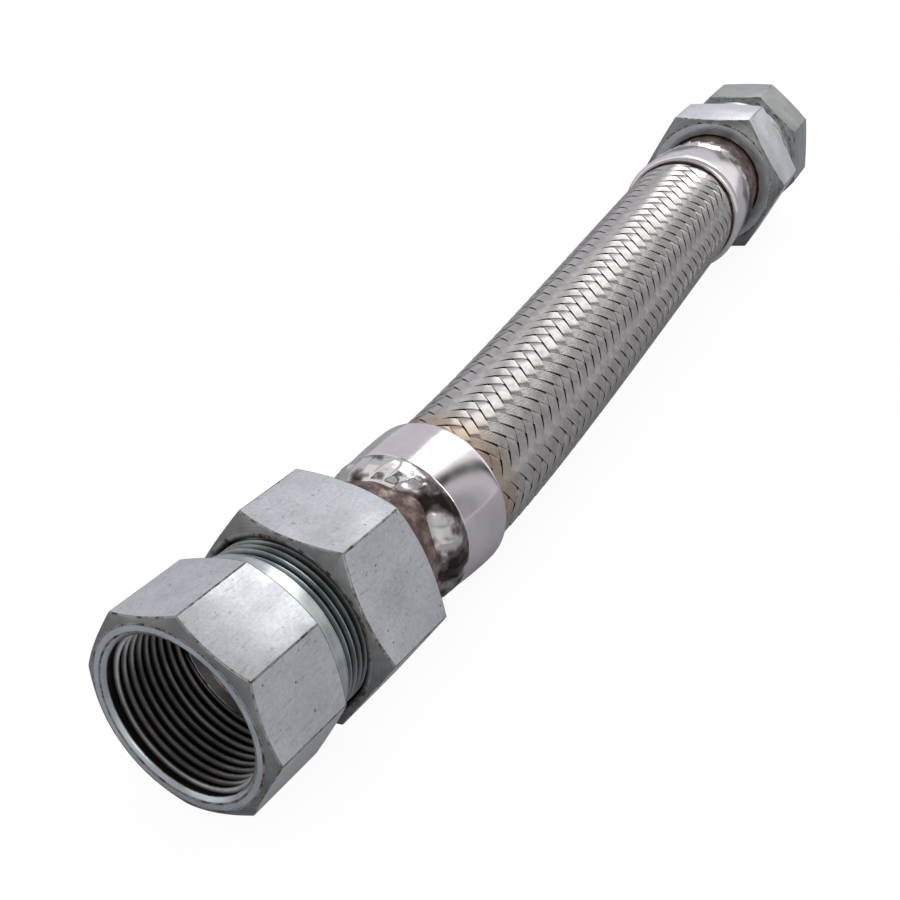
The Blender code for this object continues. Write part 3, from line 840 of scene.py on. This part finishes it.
# %% Height of a bead
WELD_RIPPLES, WELD_LUMPS = 34, 40
WELD_TOP, WELD_SUNK = 2.6 * MM, 0.4 * MM
SWELLS, SWELL_TURN = 4, math.radians(75)
CREEP, FINE_CREEP, FINE_WAVES = 1.9, 0.5, 9
BODY_START, BODY_LENGTH, LAP_START = -1 * MM, 9.5 * MM, 7 * MM
SWELL_RISE, BODY_DROP, RIPPLE_RISE = 0.35, 0.25, 0.35
RIPPLE_BEND, RIPPLE_MIDDLE = 0.03, 4
PROFILE_AT = np.array([-3, -1.5, 0, 1.5, 3.5, 6, 8, 8.8]) * MM
PROFILE_HEIGHT = np.array([-0.3, -0.12, 0.3, 1.3, 2.15, 2.3, 2.05, 1.75]) * MM


def bead_height(angle, x, seed):
    """Height of the bead above the neck, for an angle and a distance behind its front."""
    draw = np.random.default_rng(seed)
    swell = np.cos(SWELLS * (angle - SWELL_TURN))
    creep = (CREEP * swell + FINE_CREEP * np.sin(FINE_WAVES * angle + seed)) * MM
    x = x + creep * np.clip(1 - x / WELD_LENGTH, 0, 1)
    profile = np.interp(x, PROFILE_AT, PROFILE_HEIGHT)
    body = np.sin(np.pi * np.clip((x - BODY_START) / BODY_LENGTH, 0, 1))
    bend = RIPPLE_BEND * (x / MM - RIPPLE_MIDDLE) ** 2
    phase = (angle / math.tau * WELD_RIPPLES + bend) % 1
    ripple = RIPPLE_RISE * (1 - phase) ** 2
    height = profile + body * MM * (SWELL_RISE * swell - BODY_DROP + ripple)
    for _ in range(WELD_LUMPS):
        at, middle = draw.uniform(0, math.tau), draw.uniform(-2, 6) * MM
        wide, deep = draw.uniform(0.06, 0.16), draw.uniform(1, 2) * MM
        rise = draw.uniform(-0.4, 0.5) * MM
        away = np.angle(np.exp(1j * (angle - at)))
        height += rise * np.exp(-(away / wide) ** 2 - ((x - middle) / deep) ** 2)
    behind = np.clip((x - LAP_START) / MM, 0, 1)
    height = height * (1 - behind) + profile * behind
    return np.clip(height, -WELD_SUNK, WELD_TOP)


# %% Model the beads
WELD_SKIRT, WELD_LAP, WELD_DEPTH = 3 * MM, 0.8 * MM, 0.8 * MM
WELD_ROWS, WELD_SIDES, WELD_SMOOTH = 28, 320, 60


def make_weld(side, seed):
    """One bead, from a skirt on the neck to a lap on the front of the ferrule."""
    end = ENDS[side]
    front, back = end["weld"] - WELD_SKIRT, end["weld"] + WELD_LENGTH + WELD_LAP
    inner = NECK_RADIUS - WELD_DEPTH
    outline = [(front, inner)]
    for row in range(WELD_ROWS + 1):
        outline.append((front + (back - front) * row / WELD_ROWS, NECK_RADIUS))
    outline.append((back, inner))
    weld = lathe("weld_bead_" + side + "_dressed", outline, WELD_SIDES)
    points = np.empty(len(weld.data.vertices) * 3)
    weld.data.vertices.foreach_get("co", points)
    points = points.reshape(-1, 3)
    radius = np.hypot(points[:, 1], points[:, 2])
    angle = np.arctan2(points[:, 2], points[:, 1])
    height = bead_height(angle, points[:, 0] - end["weld"], seed)
    height[radius < NECK_RADIUS - WELD_DEPTH / 2] = 0
    points[:, 1:] *= ((radius + height) / radius)[:, None]
    weld.data.vertices.foreach_set("co", points.ravel())
    weld.data.materials.append(WELD)
    settle(weld, end["place"], WELD_SMOOTH)
    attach(weld, "hose")
    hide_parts("weld_bead_" + side)


for side, seed in (("near", 4), ("far", 9)):
    make_weld(side, seed)

# %% [markdown]
# ## The line of the hose
#
# Between the lips of the two ferrules the hose follows one smooth curve, the same as in the
# CAD model: it leaves each ferrule straight, and 0.18 of the span sets how soon it turns. A
# Bezier curve object would give the same line, but the bands need its points by their distance
# along it, so the curve is worked out and measured here.

# %% The hose's centreline
GUIDE_SHARE = 0.18


def end_point(side, station):
    """A point on the axis of one end."""
    return np.array(ENDS[side]["place"] @ Vector((station, 0, 0)))


def end_direction(side):
    """The way the axis of one end runs, towards the hose."""
    return np.array(ENDS[side]["place"].to_3x3() @ Vector((1, 0, 0)))


first, last = end_point("near", ENDS["near"]["lip"]), end_point("far", ENDS["far"]["lip"])
handle = np.linalg.norm(last - first) * GUIDE_SHARE
guides = np.array([first, first + end_direction("near") * handle,
                   last + end_direction("far") * handle, last])


def curve_point(share):
    """Points of the curve, from 0 at the near lip to 1 at the far lip and straight beyond."""
    a, b, c, d = guides
    s = np.atleast_1d(share)[:, None]
    r = 1 - s
    inside = a * r**3 + b * 3 * r**2 * s + c * 3 * r * s**2 + d * s**3
    before, after = np.minimum(s, 0), np.maximum(s - 1, 0)
    clamped = (s >= 0) & (s <= 1)
    outside = np.where(s < 0, a + (b - a) * 3 * before, d + (d - c) * 3 * after)
    return np.where(clamped, inside, outside)


shares = np.linspace(0, 1, 400)
steps = np.linalg.norm(np.diff(curve_point(shares), axis=0), axis=1)
marks = np.concatenate([[0], np.cumsum(steps)])
HOSE_LENGTH = float(marks[-1])
HOSE_UP = np.array(ENDS["near"]["place"].to_3x3() @ Vector((0, 0, 1)))


def hose_point(distance, angle, radius):
    """A point at a distance along the hose, an angle about it and a radius from its middle."""
    share = np.interp(distance, marks, shares)
    past = distance - np.clip(distance, 0, HOSE_LENGTH)
    along = curve_point(share + 0.001) - curve_point(share - 0.001)
    along /= np.linalg.norm(along, axis=1)[:, None]
    middle = curve_point(share) + along * past[:, None]
    aside = np.cross(HOSE_UP, along)
    aside /= np.linalg.norm(aside, axis=1)[:, None]
    upward = np.cross(along, aside)
    reach = aside * np.cos(angle)[:, None] + upward * np.sin(angle)[:, None]
    return middle + reach * radius[:, None]


print("braid shows for", round(HOSE_LENGTH * 1000, 1), "mm")

# %% [markdown]
# ## The braid
#
# The sleeve is woven from 36 bands of fine wire, 18 wound to the right and 18 to the left.
# Each band goes over two bands of the other hand and under the next two, which makes the
# columns of slanting floats and the small dark eyes between them. One band is modelled as a
# strip with seven wires across its top, and wound 18 times for each hand.

# %% Shape of a band
BANDS, REPEAT = 18, 4.85 * MM
BAND_HALF_WIDTH, BAND_HALF_THICKNESS, BAND_WAVE = 0.43, 0.16 * MM, 0.3 * MM
WIRES, WIRE_DEPTH = 7, 0.13 * MM
FIRST_CROSSING, LAST_CROSSING = -1, 78
CROSSING_STEPS = np.array([-0.5, -0.3, 0, 0.3])
COLUMN_TURN, PHASE, START_SHIFT = math.radians(10), math.radians(-0.5), -0.5 * MM
LIP_EASE, LIP_SINK, LIP_WAVE = 4 * MM, 0.42 * MM, 0.55


def band_profile():
    """Points across a band: place in half widths and height. Even points are the valleys."""
    top = [(-1 + step / WIRES, 0 if step % 2 else -WIRE_DEPTH) for step in range(2 * WIRES + 1)]
    top = [(across, BAND_HALF_THICKNESS + height) for across, height in top]
    under = [(1, -BAND_HALF_THICKNESS), (-1, -BAND_HALF_THICKNESS)]
    return np.array(top + under + top[:1])


def band_wave(crossing):
    """Height of a band along its length: up over two crossings and down under two."""
    lift = np.cos(np.pi / 2 * (crossing - 0.5))
    return np.sign(lift) * np.sqrt(np.abs(lift))


# %% [markdown]
# A band's place is counted in crossings, so both hands meet at the same points and nothing
# has to be fitted. Under the lips the bands sink and flatten, as the ferrule presses them.

# %% Wind the bands
def make_bands(hand):
    """The 18 bands of one hand, 1 for the right and -1 for the left, joined into a sleeve."""
    profile = band_profile()
    count = (LAST_CROSSING - FIRST_CROSSING) * len(CROSSING_STEPS) + 1
    made = []
    for number in range(BANDS):
        band, row, column = flat_strip("band", count, len(profile))
        whole, part_of = np.divmod(row, len(CROSSING_STEPS))
        own = number + profile[column, 0] * BAND_HALF_WIDTH
        along = FIRST_CROSSING + whole + CROSSING_STEPS[part_of]
        if hand == 1:
            right, left = own, number + along
            crossing = number + left
        else:
            left, right = own, number - along
            crossing = number + right
        distance = START_SHIFT + REPEAT * (left - right) / 2
        angle = COLUMN_TURN * (left + right) + PHASE
        ease = np.clip(np.minimum(distance, HOSE_LENGTH - distance) / LIP_EASE, 0, 1)
        lie = BRAID_RADIUS - LIP_SINK * (1 - ease) ** 2
        wave = hand * band_wave(crossing) * BAND_WAVE * (LIP_WAVE + (1 - LIP_WAVE) * ease)
        radius = lie + wave + profile[column, 1]
        points = hose_point(distance, angle, radius)
        band.data.vertices.foreach_set("co", points.ravel())
        ends = np.empty(len(band.data.edges) * 2, dtype=int)
        band.data.edges.foreach_get("vertices", ends)
        pair = column[ends.reshape(-1, 2)]
        valley = (pair[:, 0] == pair[:, 1]) & ((pair[:, 0] % 2 == 0) | (pair[:, 0] > 2 * WIRES))
        band.data.edges.foreach_set("use_edge_sharp", valley)
        close_strip(band)
        made.append(band)
    only(*made)
    bpy.ops.object.join()
    bpy.ops.object.shade_smooth(keep_sharp_edges=True)
    return made[0]


# %% [markdown]
# Stainless wire is bright drawn metal. Next to the near ferrule the weld's heat has tinted it
# a straw gold, which fades out along the first 13 mm. The tint reads the station along the
# near fitting, so it stays where the heat was when the hose is seen from any side.

# %% Stainless wire
WIRE_STREAKS = 3 * MM
TINT_FULL, TINT_GONE, TINT_MOST = 1 * MM, 13 * MM, 0.65


def braid_wire():
    """Drawn stainless wire, woven. Fine streaks and a heat tint at the near ferrule."""
    made, tree, where = new_finish("stainless steel, woven wire")
    streaks = node(tree, "TexNoise", {"Vector": where, "Scale": 1 / WIRE_STREAKS,
                                      "Detail": 4, "Roughness": 0.6})
    steel = node(tree, "ValToRGB", [streaks],
                 [(0.3, "#B2AEAB"), (0.5, "#BFBCB9"), (0.7, "#CCC9C7")])
    station, _, _ = from_axis(tree, where, ENDS["near"]["place"])
    lip = ENDS["near"]["lip"]
    tint = node(tree, "MapRange", [station, lip + TINT_FULL, lip + TINT_GONE, TINT_MOST, 0])
    colour = node(tree, "Mix", {0: tint, 6: steel, 7: linear("#B09168")},
                  out=2, data_type="RGBA")
    dull = node(tree, "MapRange", [streaks, 0.3, 0.7, 0.2, 0.12])
    wire = node(tree, "BsdfPrincipled",
                {"Base Color": colour, "Metallic": 1, "Roughness": dull})
    node(tree, "OutputMaterial", {"Surface": wire})
    return made


WIRE = braid_wire()
print("made", WIRE.name)

# %% Weave the sleeve
right_bands = make_bands(1)
right_bands.name = right_bands.data.name = "braid_right_hand"
left_bands = make_bands(-1)
left_bands.name = left_bands.data.name = "braid_left_hand"
for sleeve in (right_bands, left_bands):
    sleeve.data.materials.append(WIRE)
    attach(sleeve, "hose")
    print(sleeve.name, len(sleeve.data.polygons), "faces")
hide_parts("braid")

# %% [markdown]
# ## What shows only through gaps
#
# The corrugated tube shows in the eyes of the braid and inside the mouths, coloured dark
# steel as painted shade, and the gasket only in the gap behind the adapter. Their CAD solids
# are right as they are, so they only get a finish.

# %% Formed tube
TUBE_CLOUDS = 8 * MM


def shaded_tube_steel():
    """Thin stainless tube, formed into rings. Smooth, and coloured darker than bright steel as
    painted shade, since it is always in shade.
    """
    made, tree, where = new_finish("stainless steel, formed tube in painted shade")
    clouds = node(tree, "TexNoise", {"Vector": where, "Scale": 1 / TUBE_CLOUDS,
                                     "Detail": 3, "Roughness": 0.55})
    # Darker than bright steel: painted shade.
    colour = node(tree, "ValToRGB", [clouds], [(0.35, "#7A7673"), (0.65, "#989490")])
    dull = node(tree, "MapRange", [clouds, 0.3, 0.7, 0.25, 0.4])
    steel = node(tree, "BsdfPrincipled",
                 {"Base Color": colour, "Metallic": 1, "Roughness": dull})
    node(tree, "OutputMaterial", {"Surface": steel})
    return made


# %% Gasket fibre
FIBRE_SPACING = 0.6 * MM


def gasket_fibre():
    """Pressed fibre gasket, matte and nearly black."""
    made, tree, where = new_finish("pressed fibre, gasket")
    fibres = node(tree, "TexNoise", {"Vector": where, "Scale": 1 / FIBRE_SPACING,
                                     "Detail": 5, "Roughness": 0.7})
    colour = node(tree, "ValToRGB", [fibres], [(0.35, "#1B1B1C"), (0.65, "#333234")])
    relief = node(tree, "Bump", {"Height": fibres, "Strength": 0.4, "Distance": 0.1 * MM})
    sheet = node(tree, "BsdfPrincipled",
                 {"Base Color": colour, "Roughness": 0.85, "Normal": relief})
    node(tree, "OutputMaterial", {"Surface": sheet})
    return made


# %% Dress the kept CAD nodes
SHADED_TUBE, FIBRE = shaded_tube_steel(), gasket_fibre()
for name, look in (("corrugated_hose", SHADED_TUBE), ("gasket_near", FIBRE), ("gasket_far", FIBRE)):
    mesh = frame["nodes"][name].data
    mesh.materials.clear()
    mesh.materials.append(look)
    print(name, "is dressed in", look.name)

# %% [markdown]
# ## The floor
#
# The photo's ground is pure white. A plain white floor would render pale grey, and with a
# brighter lamp the metal would burn out. So the floor is a wide disc whose paint is mixed with
# a glow: much of it for the camera, a little for reflections, and none for other light. The
# paint still takes the shadow of the hose.

# %% The floor
FLOOR_RADIUS, FLOOR_SIDES = 6, 96
GLOW_SEEN, GLOW_REFLECTED = 0.9, 0.15
bpy.ops.object.select_all(action="DESELECT")
bpy.ops.mesh.primitive_circle_add(vertices=FLOOR_SIDES, radius=FLOOR_RADIUS, fill_type="NGON")
floor = bpy.context.object
floor.name = "floor"
floor_look = bpy.data.materials.new("painted white floor")
tree = empty_tree(floor_look)
camera_ray = node(tree, "LightPath", out="Is Camera Ray")
glossy_ray = node(tree, "LightPath", out="Is Glossy Ray")
clear_ray = node(tree, "LightPath", out="Is Transmission Ray")
bounced = node(tree, "Math", [glossy_ray, clear_ray], operation="ADD")
bounced = node(tree, "Math", [bounced, GLOW_REFLECTED], operation="MULTIPLY")
share = node(tree, "Math", [camera_ray, GLOW_SEEN, bounced], operation="MULTIPLY_ADD")
paint = node(tree, "BsdfDiffuse", {"Color": linear("#F4F4F4")})
glow = node(tree, "Emission", {"Color": linear("#FFFFFF"), "Strength": 1.03})
node(tree, "OutputMaterial", {"Surface": node(tree, "MixShader", [share, paint, glow])})
floor.data.materials.append(floor_look)
print("floor", FLOOR_RADIUS * 2, "m across")

# %% [markdown]
# Polished metal has no look of its own and shows the room. Over a white floor it would have
# no dark side, so a grey card lies under the hose that only its reflections see.

# %% The grey card
CARD_MIDDLE, CARD_SIZE = (0.3, -0.1, 0.2 * MM), (2.4, 1.6, 1)
bpy.ops.object.select_all(action="DESELECT")
bpy.ops.mesh.primitive_plane_add(size=1, location=CARD_MIDDLE)
card = bpy.context.object
card.name = "grey_card"
card.scale = CARD_SIZE
bpy.ops.object.transform_apply(location=True, rotation=True, scale=True)
card.visible_camera = card.visible_diffuse = card.visible_shadow = False
card.visible_transmission = card.visible_volume_scatter = False
card_look = bpy.data.materials.new("matte grey card")
tree = empty_tree(card_look)
board = node(tree, "BsdfPrincipled", {"Base Color": linear("#A9A9AF"), "Roughness": 0.9})
node(tree, "OutputMaterial", {"Surface": board})
card.data.materials.append(card_look)
print("card", CARD_SIZE[0], "by", CARD_SIZE[1], "m")

# %% [markdown]
# ## The surround
#
# A sleeve of polished steel shows the studio as long stripes: pale lavender to its left, a
# white panel, a narrow dark gap and a paler wall. Real panels would have to be placed one by
# one. A colour ramp over the angle to the gap's direction draws the same stripes, for
# reflections only. Other light comes from a plain pale surround, and the camera sees white.

# %% The surround
GAP_NORMAL = Vector((0.553, 0.826, -0.108)).normalized()
PANEL_STOPS = [
    (0.0, "#E8E8E8"), (0.36, "#A0A0A6"), (0.41, "#D4D4DA"), (0.445, "#D4D4DA"),
    (0.46, "#262424"), (0.51, "#262424"), (0.535, "#FFFFFF"), (0.75, "#FFFFFF"),
    (0.8, "#D8D7DF"), (1.0, "#D4D3DC"),
]
world = bpy.data.worlds.new("studio")
bpy.context.scene.world = world
tree = empty_tree(world)
direction = node(tree, "TexCoord", out="Generated")
off_gap = node(tree, "VectorMath", [direction, GAP_NORMAL], out="Value", operation="DOT_PRODUCT")
share = node(tree, "MapRange", [off_gap, -1, 1, 0, 1])
stripes = node(tree, "ValToRGB", [share], PANEL_STOPS)
panels = node(tree, "Background", {"Color": stripes, "Strength": 1})
plain = node(tree, "Background", {"Color": linear("#FFFFFF"), "Strength": 0.8})
white = node(tree, "Background", {"Color": linear("#FFFFFF"), "Strength": 1})
glossy_ray = node(tree, "LightPath", out="Is Glossy Ray")
camera_ray = node(tree, "LightPath", out="Is Camera Ray")
soft = node(tree, "MixShader", [glossy_ray, plain, panels])
node(tree, "OutputWorld", {"Surface": node(tree, "MixShader", [camera_ray, soft, white])})
print("made the surround with", len(PANEL_STOPS), "stops")

# %% [markdown]
# Two soft square lamps give the flats of the nuts their soft sheen, one beyond the far end
# and a weaker one beside the camera.

# %% The lamps
def panel(name, place, aim, size, power):
    """A square softbox lamp that faces a point."""
    data = bpy.data.lights.new(name, "AREA")
    data.shape = "SQUARE"
    data.size = size
    data.energy = power
    lamp = bpy.data.objects.new(name, data)
    bpy.context.scene.collection.objects.link(lamp)
    lamp.location = place
    lamp.rotation_mode = "QUATERNION"
    lamp.rotation_quaternion = (Vector(aim) - Vector(place)).to_track_quat("-Z", "Y")


panel("far panel", (1.1, 0.1, 0.9), (0, 0, 0.02), 0.8, 3.8)
panel("camera side panel", (-0.9, -0.6, 0.8), (-0.1, 0, 0.02), 0.6, 2)
bpy.context.scene.view_settings.view_transform = "Standard"
print("two lamps stand")
